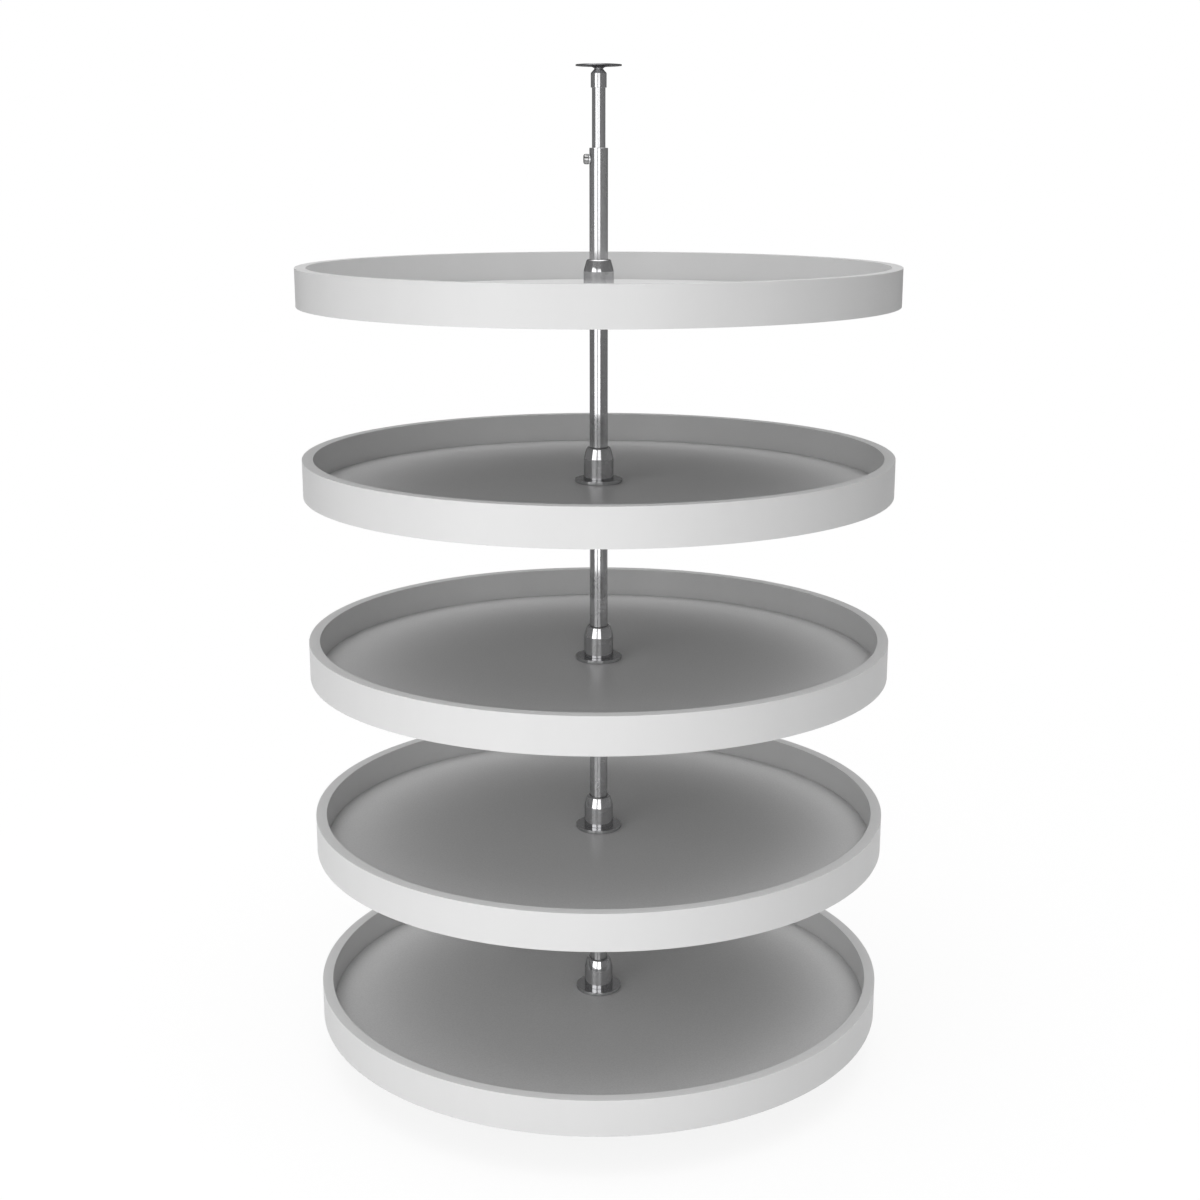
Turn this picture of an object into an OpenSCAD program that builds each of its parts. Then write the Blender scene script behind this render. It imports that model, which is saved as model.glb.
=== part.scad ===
// Rotary pantry shelf set: round trays that turn one by one on a fixed telescopic post.
// Millimetres, +Z up. The origin is the centre of the floor plate's underside, and the door of
// the cabinet is towards -Y. Tray 1 is the top one.

/* [Trays] */
// Number of trays on the post
tray_count = 5; // [2:1:5]
// Outside diameter of a tray
tray_d = 812.8; // [600:0.1:900]
// Height from one tray to the next
tray_pitch = 255; // [180:1:320]
// Height of the lowest tray's underside above the cabinet floor
floor_gap = 60; // [58:1:150]
// Height of a rim
rim_h = 50.8; // [35:0.1:70]
// Thickness of a rim
rim_t = 13.2; // [11:0.1:20]
// Rounding of a rim's edges
rim_edge_r = 1.2; // [0.6:0.1:2.5]
// Thickness of a tray's board
board_t = 8.8; // [8:0.1:14]
// Width of the board's edge that lies in the rim's rebate
board_lap = 6; // [3:0.5:8]

/* [Post] */
// Diameter of the outer tube
post_d = 25; // [24:0.1:28]
// Wall of the outer tube
post_wall = 1.5; // [1.2:0.1:2]
// Height of the outer tube's end above the top tray's rim
post_rise = 153.4; // [130:0.1:220]
// Chamfer on the outer tube's upper end
post_chamfer = 0.4; // [0.2:0.1:0.8]
// Diameter of the inner tube
inner_d = 18; // [17:0.1:19]
// Wall of the inner tube
inner_wall = 1.5; // [1:0.1:2]
// Length of the inner tube
inner_len = 390; // [300:1:500]
// Length of the plug over the inner tube's lower end
plug_len = 24; // [15:0.5:40]
// Thickness of the plug's closed end
plug_end_t = 2; // [1:0.1:4]
// Bare length of the inner tube between the outer tube and the top cap
inner_show = 77; // [72:0.1:110]

/* [Bearing hub] */
// Wall of the bearing core's sleeve
core_wall = 4; // [3:0.1:5]
// Length of each bearing land in the core's bore
land_len = 12; // [8:0.5:20]
// Depth of the relief between the lands
land_relief = 1; // [0.5:0.1:1.8]
// Diameter of the core's foot under the board
foot_d = 96; // [84:1:130]
// Thickness of the foot's plate
foot_t = 3; // [2:0.1:4]
// Wall that the foot's boss adds to the sleeve
boss_wall = 3.5; // [2:0.1:6]
// Depth of the boss under the board
boss_h = 15; // [12:0.5:16]
// Number of wood screws through the foot, with a rib between each two
foot_screws = 6; // [3:1:8]
// Distance of the wood screws from the foot's edge
foot_screw_inset = 9; // [6:0.5:14]
// Thickness of a rib on the foot
rib_t = 2.4; // [1.5:0.1:4]
// Height of the ribs' inner end above the boss's end
rib_rise = 1; // [0.5:0.1:3]
// Height of the ribs' outer end
rib_end_h = 1; // [0.5:0.1:3]
// Diameter of the hub's flange on the board
flange_d = 66; // [58:0.5:80]
// Thickness of the hub's flange
flange_t = 5.6; // [4:0.1:8]
// Undercut round the flange's lower edge, as wide as it is high
flange_undercut = 1.6; // [0.5:0.1:3]
// Bevel round the flange's upper edge
flange_bevel = 0.4; // [0.2:0.05:0.9]
// Wall of the barrel's straight part
barrel_wall = 3.7; // [3:0.1:6]
// Chamfer at the barrel's lower end
joint_chamfer = 0.3; // [0.1:0.05:0.6]
// Height of the barrel's shoulder above the board
shoulder_h = 34; // [28:0.5:37]
// Height of the hub above the board
hub_h = 50; // [48:0.5:60]
// Thickness of the barrel's lip above the core
lip_h = 11; // [10:0.5:15]
// Wall of the barrel's mouth round the post
mouth_wall = 1.1; // [0.8:0.1:2.5]
// Swell of the taper over a straight line from the shoulder to the crown
taper_swell = 0.2; // [0.05:0.05:1.5]
// Radius of the crown, the rounding between the taper and the mouth
crown_edge_r = 3.15; // [1:0.05:5]
// Lean of the taper at the crown, in degrees
crown_lean = 17.5; // [8:0.5:30]

/* [Collars] */
// Thickness of a thrust washer
washer_t = 2; // [1:0.1:3]
// Wall of a collar
collar_wall = 7.5; // [6:0.1:10]
// Height of a collar
collar_h = 13; // [10:0.5:14]
// Chamfer on a collar's edges
collar_chamfer = 1; // [0.3:0.1:2]
// Diameter of a set screw
set_screw_d = 6; // [5:0.5:8]
// Width across the flats of a set screw's socket
set_screw_key = 3; // [2:0.5:4]

/* [Floor plate] */
// Diameter of the floor plate
floor_plate_d = 76; // [68:1:100]
// Thickness of the floor plate
floor_plate_t = 3; // [2:0.1:4]
// Wall of the floor plate's socket
socket_wall = 4.5; // [3:0.1:6]
// Height of the socket above the plate
socket_h = 22; // [16:0.5:24]
// Size of the weld round the socket's foot
socket_weld = 2; // [1:0.1:3]
// Diameter of the circle of the floor plate's holes
floor_holes_pcd = 58; // [54:0.5:60]
// Diameter of the floor plate's holes
floor_hole_d = 5; // [3:0.1:6]
// Number of the floor plate's holes
floor_holes = 4; // [3:1:6]

/* [Clamp] */
// Distance of the clamp screw from the outer tube's end
clamp_drop = 14.5; // [11:0.5:18]
// Length of the guide bush in the outer tube's end
guide_len = 32; // [28:1:60]
// Diameter of the clamp's threaded insert
insert_d = 12; // [11:0.1:14]
// Diameter of the clamp screw's thread
clamp_d = 8; // [6:0.5:9]
// Diameter of the clamp screw's head
clamp_head_d = 13.4; // [11:0.1:18]
// Length of the clamp screw's head
clamp_head_h = 7.4; // [5:0.1:12]
// Rounding of the head's outer rim
clamp_head_r = 3; // [0.4:0.1:3.2]
// Rounding of the head's rim at the post
clamp_seat_r = 1; // [0.4:0.1:1.5]
// Width across the flats of the head's socket
clamp_key = 6; // [4:0.5:7]
// Depth of the head's socket
clamp_key_depth = 4; // [2:0.1:4.5]
// Thickness of the pressure pad at the screw's tip
pad_t = 1; // [0.6:0.1:1.4]

/* [Top end] */
// Diameter of the top cap
cap_d = 21.1; // [20.5:0.1:26]
// Height of the cap's shoulder
cap_h = 18.5; // [14:0.1:30]
// Rounding of the cap's shoulder
cap_edge_r = 2.5; // [0.5:0.1:5]
// Depth of the cap's socket for the inner tube
cap_socket = 11; // [6:0.5:12]
// Height of the cone from the cap's shoulder to the neck
cap_cone_h = 5; // [3:0.1:8]
// Diameter of the neck between the cap and the ceiling plate
neck_d = 11.7; // [10.5:0.1:14]
// Diameter of the stud
stud_d = 8; // [5:0.1:8.5]
// Diameter of the stud's head
stud_head_d = 14; // [10:0.1:14.5]
// Thickness of the stud's head
stud_head_t = 2; // [1.5:0.1:2.3]
// Diameter of the ceiling plate
ceiling_plate_d = 61; // [58:0.5:90]
// Thickness of the ceiling plate
ceiling_plate_t = 1.5; // [1:0.1:2]
// Height of the plate's flared boss
flare_h = 4.2; // [3.8:0.1:8]
// Diameter of the boss where it meets the plate
flare_d = 33; // [30:0.5:36]
// Depth of the recess for the stud's head
stud_recess = 2.6; // [2.3:0.1:3]
// Diameter of the circle of the ceiling plate's holes
ceiling_holes_pcd = 47; // [44:0.5:49]
// Diameter of the ceiling plate's holes
ceiling_hole_d = 4.5; // [3:0.1:5]
// Number of the ceiling plate's holes
ceiling_holes = 4; // [3:1:6]

/* [Wood screws] */
// Diameter of a wood screw
wood_screw_d = 3.5; // [2.5:0.1:4]
// Diameter of a wood screw's head
wood_screw_head_d = 7.2; // [5:0.1:9]
// Height of a wood screw's head
wood_screw_head_h = 2.4; // [1.5:0.1:3]
// Diameter of the head's flat end
wood_screw_crown_d = 4.6; // [3:0.1:5]
// Depth that a wood screw goes into the board
wood_screw_grip = 6; // [3:0.1:7]

/* [Clearances] */
// Radial clearance of a running or close fit
fit_gap = 0.05; // [0.02:0.01:0.1]
// Clearance between pieces that pass freely
free_gap = 0.3; // [0.2:0.05:0.4]

/* [Hidden] */
TRAY_PIECES = ["rim", "board", "hub_core", "hub_flange", "hub_barrel", "hub_screws"];

$fn = 128;
ARC_STEPS = 8;          // straight lines that draw a quarter round or a curve
CUT = 1;                // length by which a cutter passes the face it cuts
SCREW_SIDE = 180;       // side of the post that the set screws and the clamp screw point to

tray_r = tray_d / 2;
post_r = post_d / 2;
post_bore_r = post_r - post_wall;
inner_r = inner_d / 2;
running_r = post_r + fit_gap;           // bore of what runs on the outer tube
core_r = post_r + core_wall;
boss_r = core_r + boss_wall;
hub_bore_r = core_r + free_gap;         // bore of what the core's sleeve passes through
barrel_r = hub_bore_r + barrel_wall;
mouth_bore_r = post_r + free_gap;
mouth_r = mouth_bore_r + mouth_wall;
crown_r = mouth_r + crown_edge_r * cos(crown_lean);         // the taper's end, where the crown starts
crown_h = hub_h - crown_edge_r * (1 - sin(crown_lean));
core_h = hub_h - lip_h;
foot_screw_r = foot_d / 2 - foot_screw_inset;
collar_r = post_r + collar_wall;
socket_r = post_r + socket_wall;
insert_r = insert_d / 2;
clamp_r = clamp_d / 2;
neck_r = neck_d / 2;
stud_r = stud_d / 2;
stud_seat_h = flare_h + ceiling_plate_t - stud_recess;      // seat of the stud's head over the neck

top_rim_z = floor_gap + (tray_count - 1) * tray_pitch + rim_h;
post_top_z = top_rim_z + post_rise;
clamp_z = post_top_z - clamp_drop;
cap_z = post_top_z + inner_show;
neck_z = cap_z + cap_h + cap_cone_h;
inner_top_z = cap_z + cap_socket;
inner_end_z = inner_top_z - inner_len;
socket_screw_z = floor_plate_t + (socket_h + socket_weld) / 2;

insert_face_x = post_r + free_gap;              // outer end of the clamp's insert
insert_tip_x = inner_r + free_gap;              // its inner end, clear of the inner tube
screw_tip_x = insert_tip_x + pad_t;
screw_seat_x = insert_face_x + free_gap;        // underside of the clamp screw's head

STEEL = [0.78, 0.78, 0.8];
WHITE = [0.93, 0.93, 0.92];
NYLON = [0.86, 0.86, 0.84];
BLACK = [0.15, 0.15, 0.16];

// Height of the underside of tray i
function tray_z(i) = floor_gap + (tray_count - i) * tray_pitch;

// Points of an arc about [x, y] from angle a to angle b
function arc(x, y, r, a, b) =
    [for (k = [0:ARC_STEPS]) let (t = a + (b - a) * k / ARC_STEPS) [x + r * cos(t), y + r * sin(t)]];

// A washer or tube: outer radius, inner radius, height
module ring(r, bore, h) {
    difference() {
        cylinder(r = r, h = h);
        translate([0, 0, -CUT]) cylinder(r = bore, h = h + 2 * CUT);
    }
}

// Turns a shape that is built along +Z into one that points out of the post at height z
module out_of_post(z, from = 0) {
    translate([0, 0, z]) rotate([0, 90, SCREW_SIDE]) translate([0, 0, from]) children();
}

// Copies on a circle, count of them, the first at half a step
module on_circle(r, count) {
    for (k = [0:count - 1]) rotate([0, 0, (k + 0.5) * 360 / count]) translate([r, 0, 0]) children();
}

// A grub screw from radius a to radius b, with a hexagon socket in its outer end
module grub_screw(a, b) {
    difference() {
        cylinder(d = set_screw_d, h = b - a);
        translate([0, 0, (b - a) / 2])
            cylinder(d = set_screw_key / cos(30), h = (b - a) / 2 + CUT, $fn = 6);
    }
}

// ---- Trays -------------------------------------------------------------------------------------

// Closed hoop with rounded edges and a rebate for the board
module tray_rim(i) {
    e = rim_edge_r;
    inside = tray_r - rim_t;
    color(WHITE) translate([0, 0, tray_z(i)]) rotate_extrude() polygon(concat(
        [[inside, board_t], [inside + board_lap, board_t], [inside + board_lap, 0]],
        arc(tray_r - e, e, e, -90, 0),
        arc(tray_r - e, rim_h - e, e, 0, 90),
        arc(inside + e, rim_h - e, e, 90, 180)
    ));
}

// Round floor, flush with the rim's lower edge, with pilot holes for the foot's screws
module tray_board(i) {
    color(WHITE) translate([0, 0, tray_z(i)]) difference() {
        ring(tray_r - rim_t + board_lap - fit_gap, hub_bore_r, board_t);
        translate([0, 0, -CUT]) on_circle(foot_screw_r, foot_screws)
            cylinder(d = wood_screw_d + 2 * fit_gap, h = wood_screw_grip + CUT);
    }
}

// Moulded bearing: sleeve through the board, two lands that run on the post, ribbed foot below
module hub_core(i) {
    rib_end = foot_screw_r - wood_screw_head_d / 2;
    color(NYLON) translate([0, 0, tray_z(i)]) difference() {
        union() {
            translate([0, 0, -boss_h]) cylinder(r = boss_r, h = boss_h);
            translate([0, 0, -foot_t]) cylinder(d = foot_d, h = foot_t);
            cylinder(r = core_r, h = board_t + core_h);
            on_circle(0, foot_screws) rotate([0, 0, 180 / foot_screws]) rotate([90, 0, 0])
                translate([0, 0, -rib_t / 2]) linear_extrude(rib_t) polygon([
                    [core_r, -foot_t / 2],
                    [core_r, rib_rise - boss_h],
                    [boss_r, rib_rise - boss_h],
                    [rib_end, -foot_t - rib_end_h],
                    [rib_end, -foot_t / 2]
                ]);
        }
        translate([0, 0, -boss_h - CUT])
            cylinder(r = running_r, h = boss_h + board_t + core_h + 2 * CUT);
        translate([0, 0, land_len - boss_h])
            cylinder(r = running_r + land_relief, h = boss_h + board_t + core_h - 2 * land_len);
        translate([0, 0, -foot_t - CUT]) on_circle(foot_screw_r, foot_screws)
            cylinder(d = wood_screw_d + 2 * free_gap, h = foot_t + 2 * CUT);
    }
}

// Turned disc with an undercut edge, which lies on the board round the core
module hub_flange(i) {
    flange_r = flange_d / 2;
    color(STEEL) translate([0, 0, tray_z(i) + board_t]) rotate_extrude() polygon([
        [hub_bore_r, 0],
        [flange_r - flange_undercut, 0],
        [flange_r, flange_undercut],
        [flange_r, flange_t - flange_bevel],
        [flange_r - flange_bevel, flange_t],
        [hub_bore_r, flange_t]
    ]);
}

// Radius of the barrel's taper at t, 0 at the shoulder and 1 at the crown
function taper_r(t) = barrel_r + (crown_r - barrel_r) * t + 4 * taper_swell * t * (1 - t);

// Cover over the core: straight barrel, taper and a rounded crown with its mouth round the post
module hub_barrel(i) {
    color(STEEL) translate([0, 0, tray_z(i) + board_t]) rotate_extrude() polygon(concat(
        [
            [hub_bore_r, flange_t],
            [barrel_r - joint_chamfer, flange_t],
            [barrel_r, flange_t + joint_chamfer]
        ],
        [for (k = [0:ARC_STEPS - 1]) let (t = k / ARC_STEPS)
            [taper_r(t), shoulder_h + (crown_h - shoulder_h) * t]],
        arc(mouth_r, hub_h - crown_edge_r, crown_edge_r, crown_lean, 90),
        [[mouth_bore_r, hub_h], [mouth_bore_r, core_h], [hub_bore_r, core_h]]
    ));
}

// Wood screws from below, through the core's foot into the board
module hub_screws(i) {
    color(STEEL) translate([0, 0, tray_z(i) - foot_t]) on_circle(foot_screw_r, foot_screws) {
        cylinder(d = wood_screw_d, h = foot_t + wood_screw_grip);
        translate([0, 0, -wood_screw_head_h])
            cylinder(d1 = wood_screw_crown_d, d2 = wood_screw_head_d, h = wood_screw_head_h);
    }
}

// ---- Collars on the post -----------------------------------------------------------------------

// Slippery washer on the collar, on which the tray's boss turns
module thrust_washer(i) {
    color(BLACK) translate([0, 0, tray_z(i) - boss_h - washer_t]) ring(boss_r, running_r, washer_t);
}

// Underside of the collar below tray i
function collar_z(i) = tray_z(i) - boss_h - washer_t - collar_h;

// Collar with chamfered edges and one tapped hole
module collar(i) {
    color(STEEL) difference() {
        translate([0, 0, collar_z(i)]) rotate_extrude() polygon([
            [running_r, 0],
            [collar_r - collar_chamfer, 0],
            [collar_r, collar_chamfer],
            [collar_r, collar_h - collar_chamfer],
            [collar_r - collar_chamfer, collar_h],
            [running_r, collar_h]
        ]);
        out_of_post(collar_z(i) + collar_h / 2)
            cylinder(d = set_screw_d + 2 * fit_gap, h = collar_r + CUT);
    }
}

// One grub screw in each collar
module collar_set_screws() {
    color(BLACK) for (i = [1:tray_count])
        out_of_post(collar_z(i) + collar_h / 2, running_r) grub_screw(running_r, collar_r - free_gap);
}

// ---- Post --------------------------------------------------------------------------------------

// Round plate with screw holes and a socket for the tube
module floor_plate() {
    color(STEEL) difference() {
        union() {
            cylinder(d = floor_plate_d, h = floor_plate_t);
            translate([0, 0, floor_plate_t]) ring(socket_r, running_r, socket_h);
            translate([0, 0, floor_plate_t]) difference() {
                cylinder(r1 = socket_r + socket_weld, r2 = socket_r, h = socket_weld);
                translate([0, 0, -CUT]) cylinder(r = running_r, h = socket_weld + 2 * CUT);
            }
        }
        translate([0, 0, -CUT]) on_circle(floor_holes_pcd / 2, floor_holes)
            cylinder(d = floor_hole_d, h = floor_plate_t + 2 * CUT);
        for (side = [0, 180]) rotate([0, 0, side]) out_of_post(socket_screw_z)
            cylinder(d = set_screw_d + 2 * fit_gap, h = socket_r + CUT);
    }
}

// Two grub screws that hold the tube in the socket
module floor_set_screws() {
    color(BLACK) for (side = [0, 180])
        rotate([0, 0, side]) out_of_post(socket_screw_z, running_r)
            grub_screw(running_r, socket_r - free_gap);
}

// Straight tube from the floor plate to above the top tray, with a hole for the clamp's insert
module outer_tube() {
    c = post_chamfer;
    color(STEEL) difference() {
        rotate_extrude() polygon([
            [post_bore_r, floor_plate_t],
            [post_r, floor_plate_t],
            [post_r, post_top_z - c],
            [post_r - c, post_top_z],
            [post_bore_r, post_top_z]
        ]);
        out_of_post(clamp_z) cylinder(r = insert_r + fit_gap, h = post_r + CUT);
    }
}

// Bush that guides the inner tube in the outer tube's end
module tube_guide_bush() {
    color(BLACK) difference() {
        translate([0, 0, post_top_z - guide_len])
            ring(post_bore_r - fit_gap, inner_r + fit_gap, guide_len);
        out_of_post(clamp_z) cylinder(r = insert_r + fit_gap, h = post_r + CUT);
    }
}

// Threaded insert for the clamp screw, hollowed on its inner end to clear the inner tube
module clamp_insert() {
    color(STEEL) difference() {
        out_of_post(clamp_z) ring(insert_r, clamp_r + fit_gap, insert_face_x);
        translate([0, 0, clamp_z - insert_r - CUT])
            cylinder(r = insert_tip_x, h = insert_d + 2 * CUT);
    }
}

// Pad that the clamp screw presses on the inner tube
module clamp_pad() {
    color("goldenrod") out_of_post(clamp_z, insert_tip_x) cylinder(r = clamp_r - free_gap, h = pad_t);
}

// Cap screw with a hexagon socket
module clamp_screw() {
    head_r = clamp_head_d / 2;
    seat = screw_seat_x - screw_tip_x;
    end = seat + clamp_head_h;
    color(STEEL) out_of_post(clamp_z, screw_tip_x) difference() {
        rotate_extrude() polygon(concat(
            [[0, 0], [clamp_r, 0], [clamp_r, seat]],
            arc(head_r - clamp_seat_r, seat + clamp_seat_r, clamp_seat_r, -90, 0),
            arc(head_r - clamp_head_r, end - clamp_head_r, clamp_head_r, 0, 90),
            [[0, end]]
        ));
        translate([0, 0, end - clamp_key_depth])
            cylinder(d = clamp_key / cos(30), h = clamp_key_depth + CUT, $fn = 6);
    }
}

// ---- Telescopic top ----------------------------------------------------------------------------

// Tube that slides in the outer tube
module inner_tube() {
    color(STEEL) translate([0, 0, inner_end_z]) ring(inner_r, inner_r - inner_wall, inner_len);
}

// Plug over the inner tube's lower end, which slides in the outer tube's bore
module inner_tube_plug() {
    color(BLACK) translate([0, 0, inner_end_z - plug_end_t]) difference() {
        cylinder(r = post_bore_r - fit_gap, h = plug_len);
        translate([0, 0, plug_end_t]) cylinder(r = inner_r + fit_gap, h = plug_len);
    }
}

// Cap on the inner tube's upper end, with a rounded shoulder, a cone up to the neck and a bore for
// the stud
module top_cap() {
    cap_r = cap_d / 2;
    lean = atan2(cap_r - neck_r, cap_cone_h);
    color(STEEL) translate([0, 0, cap_z]) rotate_extrude() polygon(concat(
        [[inner_r + fit_gap, 0], [cap_r, 0]],
        arc(cap_r - cap_edge_r, cap_h - cap_edge_r * tan(lean / 2), cap_edge_r, 0, lean),
        [
            [neck_r, cap_h + cap_cone_h],
            [stud_r + fit_gap, cap_h + cap_cone_h],
            [stud_r + fit_gap, cap_socket],
            [inner_r + fit_gap, cap_socket]
        ]
    ));
}

// Headed stud on which the ceiling plate turns
module top_stud() {
    shank_h = neck_z + stud_seat_h - inner_top_z;
    color(STEEL) translate([0, 0, inner_top_z]) {
        cylinder(r = stud_r, h = shank_h);
        translate([0, 0, shank_h]) cylinder(d = stud_head_d, h = stud_head_t);
    }
}

// Radius of the ceiling plate's boss at t, 0 at the neck and 1 at the plate
function flare_r(t) = neck_r + (flare_d / 2 - neck_r) * pow(t, 2.4);

// Thin round plate with a flared boss, a recess for the stud's head and screw holes
module ceiling_plate() {
    top = flare_h + ceiling_plate_t;
    recess_r = stud_head_d / 2 + free_gap;
    color(STEEL) translate([0, 0, neck_z]) difference() {
        rotate_extrude() polygon(concat(
            [[stud_r + fit_gap, 0]],
            [for (k = [0:ARC_STEPS]) let (t = k / ARC_STEPS) [flare_r(t), flare_h * t]],
            [
                [ceiling_plate_d / 2, flare_h],
                [ceiling_plate_d / 2, top],
                [recess_r + top - stud_seat_h, top],
                [recess_r, stud_seat_h],
                [stud_r + fit_gap, stud_seat_h]
            ]
        ));
        translate([0, 0, flare_h - CUT]) on_circle(ceiling_holes_pcd / 2, ceiling_holes)
            cylinder(d = ceiling_hole_d, h = ceiling_plate_t + 2 * CUT);
    }
}

// ---- Assembly ----------------------------------------------------------------------------------

floor_plate();
floor_set_screws();
outer_tube();
tube_guide_bush();
clamp_insert();
clamp_pad();
clamp_screw();
inner_tube();
inner_tube_plug();
top_cap();
top_stud();
ceiling_plate();
collar_set_screws();
for (i = [1:tray_count]) {
    collar(i);
    thrust_washer(i);
    tray_rim(i);
    tray_board(i);
    hub_core(i);
    hub_flange(i);
    hub_barrel(i);
    hub_screws(i);
}
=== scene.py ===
import math

import bpy
import bmesh
import numpy as np
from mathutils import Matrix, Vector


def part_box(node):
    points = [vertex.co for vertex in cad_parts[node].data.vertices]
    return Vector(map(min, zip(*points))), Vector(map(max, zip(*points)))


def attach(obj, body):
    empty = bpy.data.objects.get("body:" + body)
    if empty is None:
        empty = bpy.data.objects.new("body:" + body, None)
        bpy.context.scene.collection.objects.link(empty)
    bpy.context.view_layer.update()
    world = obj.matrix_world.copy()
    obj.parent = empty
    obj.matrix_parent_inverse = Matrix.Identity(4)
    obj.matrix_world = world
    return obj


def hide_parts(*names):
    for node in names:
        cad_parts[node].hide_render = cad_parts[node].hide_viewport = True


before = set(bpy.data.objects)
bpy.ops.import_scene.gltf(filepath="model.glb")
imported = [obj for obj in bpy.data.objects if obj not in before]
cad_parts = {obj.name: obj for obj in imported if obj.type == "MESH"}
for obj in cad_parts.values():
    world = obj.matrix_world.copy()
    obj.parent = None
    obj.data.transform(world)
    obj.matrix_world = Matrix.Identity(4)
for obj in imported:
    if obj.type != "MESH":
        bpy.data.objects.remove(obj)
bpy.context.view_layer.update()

# ---- Camera ------------------------------------------------------------------------------------
# The photograph looks level with the top tray and a little down on it, from about two and a half
# metres, with the post on the middle line of the picture.
PHOTO_SIDE = 1200                  # pixels
FOCAL_PIXELS = 1759.5              # focal length, in the photograph's pixels
LENS_AXIS = (598.7, 604.85)        # where the lens axis meets the photograph, in pixels
SENSOR = 36.0                      # millimetres
EYE_DISTANCE = 2.4191              # metres in front of the post's axis
EYE_OVER_RIM = 0.1259              # metres above the top tray's rim
LOOK_DOWN = math.radians(13.908)

top_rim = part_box("tray_1_rim")[1].z
eye = bpy.data.cameras.new("eye")
eye.sensor_width = SENSOR
eye.lens = SENSOR * FOCAL_PIXELS / PHOTO_SIDE
eye.shift_x = 0.5 - LENS_AXIS[0] / PHOTO_SIDE
eye.shift_y = LENS_AXIS[1] / PHOTO_SIDE - 0.5
camera = bpy.data.objects.new("camera", eye)
camera.location = (0, -EYE_DISTANCE, top_rim + EYE_OVER_RIM)
camera.rotation_euler = (math.pi / 2 - LOOK_DOWN, 0, 0)
bpy.context.scene.collection.objects.link(camera)
bpy.context.scene.camera = camera


# ---- Floor plate -------------------------------------------------------------------------------
# A zinc-plated steel disc that is screwed to the cabinet's floor, with a short socket welded on it
# in which the post stands, held by two grub screws.
def material_with(name, colour, roughness, metallic=0.0, **plain):
    """A material with one Principled shader. Its colour, its gloss and the plain numbers are set on
    the shader's own sockets, and hold where nothing is linked over them."""
    material = bpy.data.materials.new(name)
    material.use_nodes = True
    shader = material.node_tree.nodes["Principled BSDF"]
    shader.inputs["Base Color"].default_value = (*colour, 1)
    shader.inputs["Roughness"].default_value = roughness
    shader.inputs["Metallic"].default_value = metallic
    for socket, value in plain.items():
        shader.inputs[socket.replace("_", " ")].default_value = value
    return material, shader


def node(owner, kind, inputs=None, **settings):
    """A new node of that kind in a material or world, with its settings, and with its inputs set to
    values or linked."""
    made = owner.node_tree.nodes.new("ShaderNode" + kind)
    for name, value in settings.items():
        setattr(made, name, value)
    for socket, value in (inputs or {}).items():
        if isinstance(value, bpy.types.NodeSocket):
            owner.node_tree.links.new(value, made.inputs[socket])
        else:
            made.inputs[socket].default_value = value
    return made


def spread(material, value, low, high, from_low=0.3, from_high=0.7):
    """The value, usually a noise, stretched from its own range to low...high."""
    return node(material, "MapRange", {
        "Value": value, "From Min": from_low, "From Max": from_high, "To Min": low, "To Max": high,
    }).outputs["Result"]


def grain(material, size, detail=3.0, stretch=(1, 1, 1)):
    """Noise with grains of about that size in metres, drawn out where stretch is under 1."""
    place = node(material, "TexCoord").outputs["Object"]
    scaled = node(material, "Mapping", {"Vector": place, "Scale": stretch}).outputs["Vector"]
    noise = node(material, "TexNoise", {"Vector": scaled, "Scale": 1 / size, "Detail": detail})
    return noise.outputs["Fac"]


def gloss(material, shader, marks, low, high):
    """Roughness that goes from low to high with the marks."""
    rough = spread(material, marks, low, high)
    material.node_tree.links.new(rough, shader.inputs["Roughness"])


def dent(material, shader, height, depth):
    """Bump of that depth in metres on the shader's normal."""
    bump = node(material, "Bump", {"Height": height, "Distance": depth, "Strength": 1.0})
    material.node_tree.links.new(bump.outputs["Normal"], shader.inputs["Normal"])


def tint(material, shader, share, dark, pale):
    """Base colour that goes from dark to pale with share."""
    mix = node(material, "Mix", data_type="RGBA")
    material.node_tree.links.new(share, mix.inputs["Factor"])
    mix.inputs["A"].default_value = (*dark, 1)
    mix.inputs["B"].default_value = (*pale, 1)
    material.node_tree.links.new(mix.outputs["Result"], shader.inputs["Base Color"])


def zinc_plating():
    """Bright zinc on steel: a faint spangle in its colour, patches of gloss and fine upright marks."""
    material, shader = material_with("zinc_plating", (0.62, 0.63, 0.64), 0.34, metallic=1.0)
    spangle = spread(material, grain(material, 0.006, detail=6.0), 0, 1)
    tint(material, shader, spangle, (0.55, 0.56, 0.58), (0.68, 0.68, 0.68))
    gloss(material, shader, grain(material, 0.0012), 0.26, 0.42)
    dent(material, shader, grain(material, 0.0004, stretch=(1, 1, 0.15)), 0.00001)
    return material


def finish_node(name, material):
    """Gives a CAD node that stays its material."""
    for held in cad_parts[name].material_slots:
        held.material = material


zinc = zinc_plating()
finish_node("floor_plate", zinc)


def black_oxide():
    """Oiled black oxide on a small steel screw."""
    material, shader = material_with("black_oxide", (0.045, 0.045, 0.05), 0.38, metallic=0.85)
    gloss(material, shader, grain(material, 0.0006), 0.3, 0.5)
    dent(material, shader, grain(material, 0.0002), 0.000008)
    return material


oxide = black_oxide()
finish_node("floor_set_screws", oxide)


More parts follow.
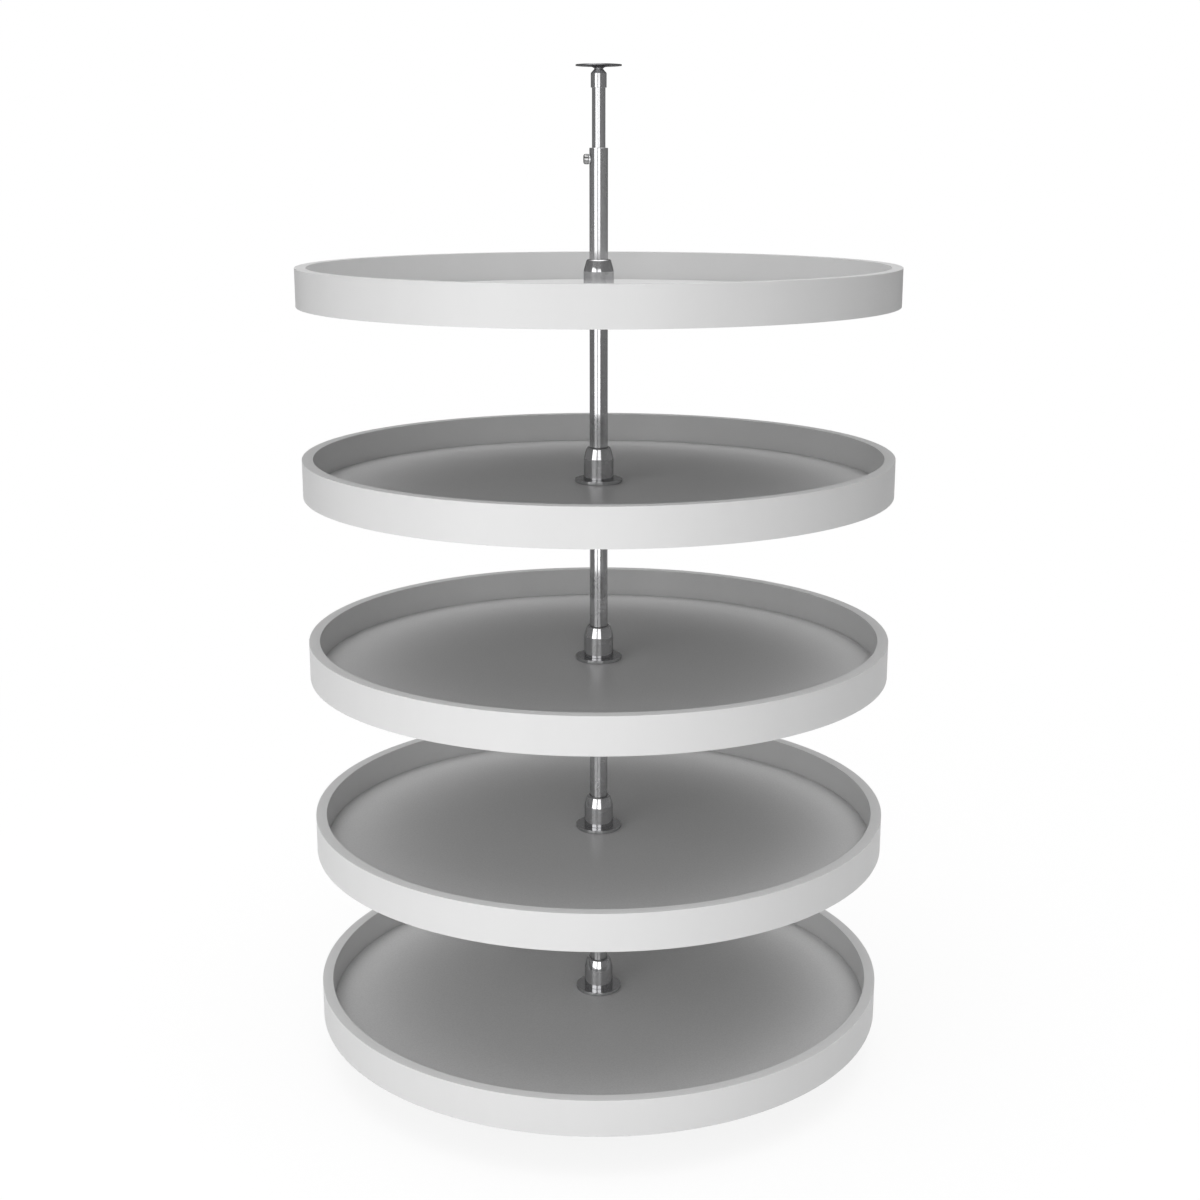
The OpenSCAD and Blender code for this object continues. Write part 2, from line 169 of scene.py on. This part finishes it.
# ---- Outer tube --------------------------------------------------------------------------------
# The post that carries all the trays: a polished and chromium-plated steel tube, buffed on a lathe,
# so that its fine marks run round it and draw every highlight out along its length. A black plastic
# bush is pressed in its top end.
CHROMIUM = (0.64, 0.64, 0.65)
CHROMIUM_EDGE = (0.5, 0.5, 0.5, 1)    # share of that colour left at a grazing angle
QUARTER_TURN = 0.25                   # from along the marks to across them
MARKS_VARY = 0.05                     # how far the share of the marks goes up and down


def chrome(name, marked):
    """Bright chromium: a mirror, of which fine buffing marks round the piece's Z axis cover about the
    marked share. The marks draw what they reflect out across themselves."""
    material, marks = material_with(
        name, CHROMIUM, 0.28, metallic=1.0, Specular_Tint=CHROMIUM_EDGE,
        Anisotropic=1.0, Anisotropic_Rotation=QUARTER_TURN,
    )
    tree = material.node_tree
    round_it = node(material, "Tangent", direction_type="RADIAL", axis="Z")
    tree.links.new(round_it.outputs["Tangent"], marks.inputs["Tangent"])
    gloss(material, marks, grain(material, 0.02), 0.26, 0.3)
    mirror = node(material, "BsdfPrincipled", {
        "Base Color": (*CHROMIUM, 1), "Roughness": 0.07, "Metallic": 1.0, "Specular Tint": CHROMIUM_EDGE,
    })
    cover = spread(material, grain(material, 0.008), marked - MARKS_VARY, marked + MARKS_VARY)
    mix = node(material, "MixShader", {0: cover, 1: mirror.outputs["BSDF"], 2: marks.outputs["BSDF"]})
    tree.links.new(mix.outputs["Shader"], tree.nodes["Material Output"].inputs["Surface"])
    return material


plated = chrome("chrome", marked=0.5)
finish_node("outer_tube", plated)


def black_acetal():
    """Moulded black plastic, satin, with the fine grain of its mould."""
    material, shader = material_with("black_acetal", (0.018, 0.018, 0.02), 0.42)
    gloss(material, shader, grain(material, 0.001), 0.36, 0.5)
    dent(material, shader, grain(material, 0.0003), 0.00001)
    return material


acetal = black_acetal()
finish_node("tube_guide_bush", acetal)


# ---- Collars and thrust washers ----------------------------------------------------------------
# Each tray turns on a slippery washer of moulded black plastic. The washer lies on a collar turned
# from steel and zinc-plated, which one grub screw holds on the post.
TRAYS = [1, 2, 3, 4, 5]

for tray in TRAYS:
    finish_node(f"collar_{tray}", zinc)
    finish_node(f"thrust_washer_{tray}", acetal)
finish_node("collar_set_screws", oxide)


# ---- Tray rims ---------------------------------------------------------------------------------
# A hoop of white foil over moulded board, hardly rounded on its edges, with a rebate in its lower
# edge that takes the tray's round floor.
RIM_WALL = 0.015                   # metres, as all sizes of pieces from here on
RIM_EASE = 0.0004                  # how far its edges are cut back
REBATE = (0.0078, 0.0088)          # width and height of the rebate
REBATE_EASE = 0.0003
RIM_STEPS = 384


def white_foil():
    """White foil with a slight orange peel, and faint upright stripes of painted shade in its tone."""
    material, shader = material_with("white_foil", (0.69, 0.69, 0.69), 0.45)
    shade_stripes = spread(material, grain(material, 0.03, stretch=(1, 1, 0.2)), 0, 1)
    # faint upright stripes of painted shade, between two near greys
    tint(material, shader, shade_stripes, (0.686, 0.686, 0.686), (0.694, 0.694, 0.694))
    gloss(material, shader, grain(material, 0.004), 0.4, 0.5)
    dent(material, shader, grain(material, 0.0015), 0.00002)
    return material


def eased(corners, ease, steps=6, beside=1.2):
    """A closed outline whose corners are cut back by ease along both sides, and each bridged by the
    curve a(1-t)^2 + 2ct(1-t) + bt^2 from cut a over corner c to cut b. A point beside each cut, at
    1.2 times its distance from the corner, keeps the flat flat."""
    corners = np.array(corners, float)
    ease = np.broadcast_to(np.array(ease, float), len(corners))[:, None, None]
    before = (np.roll(corners, 1, 0) - corners)[:, None]
    after = (np.roll(corners, -1, 0) - corners)[:, None]
    before /= np.linalg.norm(before, axis=-1, keepdims=True)
    after /= np.linalg.norm(after, axis=-1, keepdims=True)
    t = np.linspace(0, 1, steps)[None, :, None]
    c = corners[:, None]
    curve = c + ease * (before * (1 - t) ** 2 + after * t ** 2)
    rows = [c + beside * ease * before, curve, c + beside * ease * after]
    points = np.concatenate(rows, 1).reshape(-1, 2)
    apart = np.linalg.norm(points - np.roll(points, 1, 0), axis=1) > 1e-7
    return points[apart]


def skin(name, *grids, closed=True, sharp=math.radians(40)):
    """One mesh over grids of points, where grid[i, a] is point i of an outline at step a of a closed
    path. A closed outline's last point joins its first. An open one starts and ends on its axis,
    where its points merge in a pole."""
    points, faces, first = [], [], 0
    for grid in grids:
        rows, steps = grid.shape[:2]
        i, a = np.meshgrid(np.arange(rows if closed else rows - 1), np.arange(steps), indexing="ij")
        below = first + i * steps
        above = first + (i + 1) % rows * steps
        a_next = (a + 1) % steps
        faces.append(np.stack([below + a, below + a_next, above + a_next, above + a], -1).reshape(-1, 4))
        points.append(grid.reshape(-1, 3))
        first += rows * steps
    mesh = bpy.data.meshes.new(name)
    mesh.from_pydata(np.concatenate(points).tolist(), [], np.concatenate(faces).tolist())
    shape = bmesh.new()
    shape.from_mesh(mesh)
    bmesh.ops.remove_doubles(shape, verts=shape.verts, dist=1e-6)
    bmesh.ops.recalc_face_normals(shape, faces=shape.faces)
    shape.to_mesh(mesh)
    shape.free()
    mesh.shade_smooth()
    mesh.set_sharp_from_angle(angle=sharp)
    piece = bpy.data.objects.new(name, mesh)
    bpy.context.scene.collection.objects.link(piece)
    return piece


def turned(name, outline, steps):
    """The closed outline of (radius, height) points carried round the Z axis."""
    a = np.linspace(0, 2 * math.pi, steps, endpoint=False)
    radius, height = outline[:, :1], outline[:, 1:]
    return skin(name, np.stack(np.broadcast_arrays(radius * np.cos(a), radius * np.sin(a), height), -1))


def fit(piece, material, slot, body, *nodes):
    """Gives a piece its material and puts it on its body, for its CAD nodes, which it hides. The slot is
    not used.
    """
    piece.data.materials.append(material)
    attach(piece, body)
    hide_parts(*nodes)


foil = white_foil()
for tray in TRAYS:
    low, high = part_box(f"tray_{tray}_rim")
    outside = high.x
    inside = high.x - RIM_WALL
    rebate_r = inside + REBATE[0]
    rebate_z = low.z + REBATE[1]
    rim_outline = eased(
        [(inside, rebate_z), (rebate_r, rebate_z), (rebate_r, low.z),
         (outside, low.z), (outside, high.z), (inside, high.z)],
        [0, 0, REBATE_EASE, RIM_EASE, RIM_EASE, RIM_EASE],
    )
    hoop = turned(f"tray_{tray}_hoop", rim_outline, RIM_STEPS)
    fit(hoop, foil, "white_rim", f"tray_{tray}", f"tray_{tray}_rim")


# ---- Tray floors -------------------------------------------------------------------------------
# A round board, let into the hoop from below, with white melamine on top and a dark grey underside that
# is painted shade between the trays.
BOARD_WHITE = (0.73, 0.73, 0.73)
# painted shade: the dark grey of the boards' lower faces, which darkens the light between the trays
PAINTED_UNDERSIDE_SHADE = (0.28, 0.28, 0.28)
MELAMINE = (0.76, 0.76, 0.76)


def board_faces(tray):
    """White melamine with a fine pearl texture pressed into it, over a lower face painted dark grey as
    shade between the trays. Each tray has its own, because the two faces are told apart by their height."""
    material, shader = material_with(f"board_faces_{tray}", BOARD_WHITE, 0.4)
    low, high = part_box(f"tray_{tray}_board")
    place = node(material, "SeparateXYZ", {"Vector": node(material, "TexCoord").outputs["Object"]})
    upper = spread(material, place.outputs["Z"], 0, 1, low.z, high.z)
    speck = spread(material, grain(material, 0.0022, detail=2.0), 0.86, 1)
    share = node(material, "Math", {0: upper, 1: speck}, operation="MULTIPLY")
    # the lower face takes the dark grey of painted shade, the upper one the melamine
    tint(material, shader, share.outputs[0], PAINTED_UNDERSIDE_SHADE, MELAMINE)
    dent(material, shader, grain(material, 0.0014), 0.00005)
    return material


for tray in TRAYS:
    finish_node(f"tray_{tray}_board", board_faces(tray))


# ---- Hub sleeves -------------------------------------------------------------------------------
# A sleeve moulded in nylon goes through each board and runs on the post. It carries the tray on a
# ribbed foot under the board.
def nylon():
    """Natural nylon: milky, slightly soft to the light, with the grain of its mould."""
    material, shader = material_with(
        "nylon", (0.8, 0.79, 0.75), 0.4, Subsurface_Weight=0.15, Subsurface_Scale=0.002,
    )
    dent(material, shader, grain(material, 0.0006), 0.00001)
    return material


moulded = nylon()
for tray in TRAYS:
    finish_node(f"tray_{tray}_hub_core", moulded)


# ---- Hub flanges and covers --------------------------------------------------------------------
# A flat flange and a barrel cover the sleeve on top of each board. Both are turned from steel and
# chromium-plated, with fewer buffing marks than the tubes.
HUB_STEPS = 192
HUB_BORE = 0.0168                  # radius
EDGE = 0.0002                      # how far a turned edge is cut back
FLANGE = (0.033, 0.0056)           # radius and height over the board
FLANGE_EDGES = (0.0016, 0.0004)    # undercut of the lower edge and bevel of the upper one
BARREL = (0.0205, 0.034, 0.0003)   # radius, height of the shoulder, and chamfer of the lower end
MOUTH = (0.0139, 0.0128, 0.05)     # outer and inner radius and height
LIP = 0.039                        # height of the ledge inside
CROWN = (0.00315, 17.5)            # radius of the rounding under the mouth, and the taper's lean there
SWELL = 0.0002                     # of the taper over a straight line


def arc(centre, radius, start, end, steps=10):
    """Points on an arc about the centre, with its angles in degrees."""
    a = np.radians(np.linspace(start, end, steps))
    return np.column_stack([centre[0] + radius * np.cos(a), centre[1] + radius * np.sin(a)])


def bowed(start, end, swell, steps=24):
    """The points between start and end on start + (end - start)t, moved out by 4 swell t(1 - t)."""
    t = np.linspace(0, 1, steps)[1:-1, None]
    return start + (end - start) * t + (4 * swell, 0) * t * (1 - t)


def flange_outline():
    """Flat on the board and on top, with an undercut lower edge and a bevel on the upper one."""
    radius, height = FLANGE
    undercut, bevel = FLANGE_EDGES
    return eased(
        [(HUB_BORE, 0), (radius - undercut, 0), (radius, undercut), (radius, height - bevel),
         (radius - bevel, height), (HUB_BORE, height)],
        [0, EDGE, 2 * EDGE, EDGE, EDGE, 0],
    )


def cover_outline():
    """A straight barrel, a nearly straight taper and a rounded crown, with a ledge in its bore."""
    foot = FLANGE[1]
    radius, shoulder, chamfer = BARREL
    mouth_r, mouth_bore, top = MOUTH
    crown_r, lean = CROWN
    crown = arc((mouth_r, top - crown_r), crown_r, lean, 90, 16)
    taper = bowed((radius, shoulder), crown[0], SWELL)
    return eased(
        [(HUB_BORE, foot), (radius - chamfer, foot), (radius, foot + chamfer), (radius, shoulder),
         *taper, *crown, (mouth_bore, top), (mouth_bore, LIP), (HUB_BORE, LIP)],
        [0, EDGE / 2, EDGE / 2, 2 * EDGE, *np.zeros(len(taper) + len(crown)), EDGE, 0, 0],
    )


polished = chrome("polished_chrome", marked=0.2)
for tray in TRAYS:
    board_top = [0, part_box(f"tray_{tray}_board")[1].z]
    flange = turned(f"tray_{tray}_flange", flange_outline() + board_top, HUB_STEPS)
    fit(flange, polished, "bright_metal", f"tray_{tray}", f"tray_{tray}_hub_flange")
    cover = turned(f"tray_{tray}_cover", cover_outline() + board_top, HUB_STEPS)
    fit(cover, polished, "bright_metal", f"tray_{tray}", f"tray_{tray}_hub_barrel")


# ---- Wood screws -------------------------------------------------------------------------------
# Six zinc-plated screws a tray, driven up through the sleeve's foot into the board. Their heads are
# pressed, with a domed face and a cross recess.
SCREWS = 6
SCREW_CIRCLE = 0.039               # radius of the circle on which they stand
SCREW_STEPS = 96
SHANK_R = 0.00175
POINT = (0.3, 0.002)               # radius at the tip in shank radii, and length of the point
PAN = (0.0036, 0.0024)             # radius and height of the head
PAN_SEAT = (0.0001, 0.0002)        # bevel of its edge under the foot, across and up
PAN_SIDE = 0.0004                  # height of its straight side
PAN_FACE_R = 0.0023                # where the dome ends in the flat face
RECESS = (0.0019, 0.0014)          # reach of the cross, and its depth
RECESS_BEVEL = 0.0001
RECESS_FLOOR = (0.55, 0.0002)      # reach at the bottom in reaches at the top, and depth of its point
ARM = math.radians(15)             # half the angle that an arm spans at its end


def about(r, h, steps):
    """Rows of points about an axis: r[i] may be one radius or one for each step, h[i] is a height."""
    a = np.linspace(0, 2 * math.pi, steps, endpoint=False)
    rows = [(np.broadcast_to(radius, steps), np.full(steps, height)) for radius, height in zip(r, h)]
    return np.stack([
        np.stack([radius * np.cos(a), radius * np.sin(a), height], -1) for radius, height in rows
    ])


def cross(reach, steps):
    """Radius of a cross with four arms, each as wide as 2 reach sin(ARM), at each step."""
    a = np.linspace(0, 2 * math.pi, steps, endpoint=False)
    off_arm = np.abs((a + math.pi / 4) % (math.pi / 2) - math.pi / 4)
    return np.minimum(reach, reach * math.sin(ARM) / np.maximum(np.sin(off_arm), 1e-9))


def wood_screw(face, tip):
    """A screw on the Z axis with its head down, as rows from its tip round the head into the recess."""
    pan_r, pan_height = PAN
    seat = face + pan_height
    dome = np.linspace(0, math.pi / 2, 7)
    r = [0, SHANK_R * POINT[0], SHANK_R, SHANK_R, pan_r - PAN_SEAT[0], pan_r]
    h = [tip, tip, tip - POINT[1], seat, seat, seat - PAN_SEAT[1]]
    r += list(PAN_FACE_R + (pan_r - PAN_FACE_R) * np.cos(dome))
    h += list(face + (pan_height - PAN_SIDE) * (1 - np.sin(dome)))
    reach, depth = RECESS
    bottom, point = RECESS_FLOOR
    r += [cross(reach + RECESS_BEVEL, SCREW_STEPS), cross(reach, SCREW_STEPS)]
    h += [face, face + RECESS_BEVEL]
    r += [cross(reach * bottom, SCREW_STEPS), 0]
    h += [face + depth, face + depth + point]
    return about(r, h, SCREW_STEPS)


def set_round(grid, count, radius):
    """Copies of the grid, evenly round the Z axis at that radius, each turned with its place."""
    copies = []
    for k in range(count):
        a = (k + 0.5) * 2 * math.pi / count
        turn = np.array([[math.cos(a), -math.sin(a), 0], [math.sin(a), math.cos(a), 0], [0, 0, 1]])
        copies.append(grid @ turn.T + [radius * math.cos(a), radius * math.sin(a), 0])
    return copies


for tray in TRAYS:
    low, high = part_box(f"tray_{tray}_hub_screws")
    grids = set_round(wood_screw(low.z, high.z), SCREWS, SCREW_CIRCLE)
    screws = skin(f"tray_{tray}_wood_screws", *grids, closed=False, sharp=math.radians(30))
    fit(screws, zinc, "zinc_steel", f"tray_{tray}", f"tray_{tray}_hub_screws")


# ---- Telescopic top ----------------------------------------------------------------------------
# A thinner chromium-plated tube slides in the post on a plug of black plastic. The cap turned for
# its upper end holds a stud, on which a pressed steel plate turns that is screwed to the cabinet's top.
CAP_STEPS = 160
CAP_R = 0.01055
CAP_SHOULDER = (0.0185, 0.0025)    # height over the cap's lower end, and radius of its rounding
CAP_FOOT_EASE = 0.0003
CAP_BORES = (0.00905, 0.00405, 0.011)    # radius for the tube and for the stud, depth of the first
NECK = (0.00585, 0.0235)           # radius and height of the cap's upper end

for name in ("inner_tube", "top_stud"):
    finish_node(name, plated)


def satin_chrome():
    """Matt chromium on a steel disc, with a faint grain in its gloss and its face."""
    material, shader = material_with(
        "satin_chrome", (0.3, 0.3, 0.31), 0.4, metallic=1.0, Specular_Tint=(0.05, 0.05, 0.05, 1),
    )
    gloss(material, shader, grain(material, 0.004), 0.35, 0.45)
    dent(material, shader, grain(material, 0.0008), 0.000006)
    return material


finish_node("ceiling_plate", satin_chrome())
finish_node("inner_tube_plug", acetal)


def cap_outline():
    """A straight side, a cone up to the neck with a rounding under it, and a bore in two widths."""
    height, rounding = CAP_SHOULDER
    tube_bore, stud_bore, tube_depth = CAP_BORES
    lean = math.degrees(math.atan2(CAP_R - NECK[0], NECK[1] - height))
    centre_z = height - rounding * math.tan(math.radians(lean / 2))
    shoulder = arc((CAP_R - rounding, centre_z), rounding, 0, lean)
    return eased(
        [(tube_bore, 0), (CAP_R, 0), *shoulder, NECK, (stud_bore, NECK[1]),
         (stud_bore, tube_depth), (tube_bore, tube_depth)],
        [EDGE, CAP_FOOT_EASE, *np.zeros(len(shoulder)), EDGE, 0, 0, 0],
    )


cap = turned("cap", cap_outline() + [0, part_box("top_cap")[0].z], CAP_STEPS)
fit(cap, plated, "bright_metal", "telescope", "top_cap")


# ---- Clamp -------------------------------------------------------------------------------------
# A nickel-plated cap screw goes through a threaded steel insert in the post's wall, and presses a
# small pad of turned brass on the inner tube, which holds the telescope at its height.
def brass_metal():
    """Plain turned brass, a little dull."""
    material, shader = material_with("brass_metal", (0.75, 0.55, 0.28), 0.35, metallic=1.0)
    dent(material, shader, grain(material, 0.0003), 0.000006)
    return material


finish_node("clamp_insert", zinc)
finish_node("clamp_pad", brass_metal())

CLAMP_STEPS = 120
THREAD = (0.004, 0.0005)           # radius, and chamfer of the tip
HEAD_R = 0.0067
HEAD_SEAT = 0.0028                 # height of the head's underside over the screw's tip
HEAD_ROUNDS = (0.001, 0.003)       # of the head's rim at the post and of its outer rim
KEY = (0.006, 0.004)               # width across the flats and depth of the socket
KEY_BEVEL = (0.0003, 0.00015)      # how much wider its mouth is, and how deep that goes
KEY_POINT = 0.0004                 # depth of the cone in its bottom


def nickel():
    """Bright nickel on a cold-headed screw, dark at its edges, with flow marks along the screw."""
    material, shader = material_with(
        "nickel", (0.36, 0.36, 0.36), 0.12, metallic=1.0, Specular_Tint=(0.02, 0.02, 0.02, 1),
    )
    gloss(material, shader, grain(material, 0.0015, stretch=(0.2, 1, 1)), 0.1, 0.16)
    dent(material, shader, grain(material, 0.0006), 0.000003)
    return material


def hexagon(flats, steps):
    """Radius of a hexagon of that width across the flats at each step, a corner at the first."""
    a = np.linspace(0, 2 * math.pi, steps, endpoint=False)
    return flats / 2 / np.cos(a % (math.pi / 3) - math.pi / 6)


def cap_screw(length):
    """Rows about an axis from the screw's tip at 0 round its head into the hexagon socket."""
    thread_r, chamfer = THREAD
    near_r, far_r = HEAD_ROUNDS
    profile = np.vstack([
        [(0, 0), (thread_r - chamfer, 0), (thread_r, chamfer), (thread_r, HEAD_SEAT)],
        arc((HEAD_R - near_r, HEAD_SEAT + near_r), near_r, -90, 0),
        arc((HEAD_R - far_r, length - far_r), far_r, 0, 90, 16),
    ])
    flats, depth = KEY
    socket = hexagon(flats, CLAMP_STEPS)
    r = [*profile[:, 0], hexagon(flats + KEY_BEVEL[0], CLAMP_STEPS), socket, socket, 0]
    h = [*profile[:, 1], length, length - KEY_BEVEL[1], length - depth, length - depth - KEY_POINT]
    return about(r, h, CLAMP_STEPS)


low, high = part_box("clamp_screw")
rows = cap_screw(high.x - low.x)
lying = np.stack([high.x - rows[..., 2], -rows[..., 1], (low.z + high.z) / 2 - rows[..., 0]], -1)
clamp = skin("clamp_cap_screw", lying, closed=False)
fit(clamp, nickel(), "bright_metal", "clamp_screw", "clamp_screw")


# ---- Floor and backdrop ------------------------------------------------------------------------
# White paper under the object, which widens behind it and rises far off, so that the picture's
# ground is plain white with hardly a shadow.
FLOOR_HALF = (2.4, 8.5)            # half width of the paper by the object and at the wall, in metres
WALL_BACK = 20.0                   # metres behind the post, so that no flange mirrors the wall
WALL_TOP = 3.5
WALL_CURVE = 0.6
WALL_LIFT = 0.001                  # height of the wall's foot over the floor it overlaps
PAPER = (0.7, 0.7, 0.7)            # to all light but what is seen or mirrored
PAPER_SEEN = (0.98, 0.98, 0.98)
SHOWN_WHITE = 0.87                 # share of the floor that is plain white to the eye, by the object
ALL_WHITE = (0.9, 2.4)             # metres from the post over which that share grows to the whole


def paper():
    """White paper: to the eye and to mirrors mostly plain white, to all other light a pale matt."""
    material, shader = material_with("paper", PAPER, 0.9, Specular_IOR_Level=0.0)
    tree = material.node_tree
    rays = node(material, "LightPath").outputs
    seen = node(material, "Math", {0: rays["Is Camera Ray"], 1: rays["Is Glossy Ray"]}, operation="MAXIMUM")
    seen = node(material, "Math", {0: seen.outputs[0], 1: rays["Is Transmission Ray"]}, operation="MAXIMUM")
    tint(material, shader, seen.outputs[0], PAPER, PAPER_SEEN)
    place = node(material, "TexCoord").outputs["Object"]
    level = node(material, "VectorMath", {0: place, 1: (1, 1, 0)}, operation="MULTIPLY")
    from_post = node(material, "VectorMath", {0: level.outputs["Vector"]}, operation="LENGTH")
    white_share = spread(material, from_post.outputs["Value"], SHOWN_WHITE, 1.0, *ALL_WHITE)
    share = node(material, "Math", {0: seen.outputs[0], 1: white_share}, operation="MULTIPLY")
    white = node(material, "Emission", {"Color": (1, 1, 1, 1), "Strength": 1.0})
    mix = node(material, "MixShader", {0: share.outputs[0]})
    tree.links.new(shader.outputs["BSDF"], mix.inputs[1])
    tree.links.new(white.outputs["Emission"], mix.inputs[2])
    tree.links.new(mix.outputs["Shader"], tree.nodes["Material Output"].inputs["Surface"])
    return material


def sheet_of_paper(name, outline, across=25):
    """A strip along an open outline of (y, z) points. Its half width grows evenly with y, from its
    least at as many metres behind the post to its most at the wall."""
    near, far = FLOOR_HALF
    half = near + (far - near) * np.clip((outline[:, :1] - near) / (WALL_BACK - near), 0, 1)
    x = half * np.linspace(-1, 1, across)
    grid = np.stack(np.broadcast_arrays(x, outline[:, :1], outline[:, 1:]), -1)
    rows, steps = grid.shape[:2]
    i, a = np.meshgrid(np.arange(rows - 1), np.arange(steps - 1), indexing="ij")
    corner = i * steps + a
    faces = np.stack([corner, corner + 1, corner + steps + 1, corner + steps], -1)
    mesh = bpy.data.meshes.new(name)
    mesh.from_pydata(grid.reshape(-1, 3).tolist(), [], faces.reshape(-1, 4).tolist())
    mesh.shade_smooth()
    sheet = bpy.data.objects.new(name, mesh)
    bpy.context.scene.collection.objects.link(sheet)
    return sheet


floor_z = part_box("floor_plate")[0].z
white_paper = paper()
flat = np.column_stack([np.linspace(-FLOOR_HALF[0], WALL_BACK, 80), np.full(80, floor_z)])
turn = np.linspace(0, math.pi / 2, 16)
rise = np.column_stack([WALL_BACK - WALL_CURVE + WALL_CURVE * np.sin(turn),
                        floor_z + WALL_LIFT + WALL_CURVE * (1 - np.cos(turn))])
floor = sheet_of_paper("floor", flat)
backdrop = sheet_of_paper("backdrop", np.vstack([rise, [(WALL_BACK, WALL_TOP)]]))
for sheet in (floor, backdrop):
    sheet.data.materials.append(white_paper)


# ---- Light -------------------------------------------------------------------------------------
# Two tall softboxes, one in front and one to the left, each with its own brightness from foot to
# head, in a room that is dim all round and bright overhead.
BOX_DISTANCE = 3.0                 # metres from the post
SOFTBOXES = {                      # degrees from the front, heights in metres, and glow, where 1 is white
    "softbox_left": (-54, -18, 0.02, 1.5, 2.25),
    "softbox_left_top": (-54, -18, 1.5, 2.4, 2.0),
    "softbox_front_low": (-9.5, 18.5, 0.02, 0.8, 2.9),
    "softbox_front": (-9.5, 18.5, 0.8, 1.6, 1.75),
    "softbox_front_top": (-9.5, 18.5, 1.6, 2.4, 1.5),
}

for name, (start, end, foot, head, glow) in SOFTBOXES.items():
    middle = math.radians((start + end) / 2)
    half = math.radians((end - start) / 2)
    lamp = bpy.data.lights.new(name, "AREA")
    lamp.shape = "RECTANGLE"
    lamp.size = 2 * BOX_DISTANCE * math.tan(half)
    lamp.size_y = head - foot
    lamp.energy = glow * math.pi * lamp.size * lamp.size_y    # the power that gives it that glow
    holder = bpy.data.objects.new(name, lamp)
    holder.location = (BOX_DISTANCE * math.sin(middle), -BOX_DISTANCE * math.cos(middle), (foot + head) / 2)
    holder.rotation_euler = (math.pi / 2, 0, middle)
    holder.visible_camera = False
    bpy.context.scene.collection.objects.link(holder)

ROOM = [                           # degrees over the horizon, and the glow there
    (0, 0.23), (12, 0.21), (30, 0.16), (40, 0.34), (52, 0.88), (70, 2.4), (90, 3.0),
]
BRIGHTEST = max(glow for _, glow in ROOM)

world = bpy.data.worlds.new("room")
bpy.context.scene.world = world
world.use_nodes = True
way = node(world, "SeparateXYZ", {"Vector": node(world, "TexCoord").outputs["Generated"]})
glow_up = node(world, "ValToRGB", {"Fac": way.outputs["Z"]})
stops = glow_up.color_ramp.elements
while len(stops) < len(ROOM):
    stops.new(0.5)
for stop, (up, glow) in zip(stops, ROOM):
    stop.position = math.sin(math.radians(up))    # because the ramp runs with the Z of the direction
    stop.color = (glow / BRIGHTEST, glow / BRIGHTEST, glow / BRIGHTEST, 1)
sky = world.node_tree.nodes["Background"].inputs
world.node_tree.links.new(glow_up.outputs["Color"], sky["Color"])
sky["Strength"].default_value = BRIGHTEST

bpy.context.scene.view_settings.view_transform = "Standard"
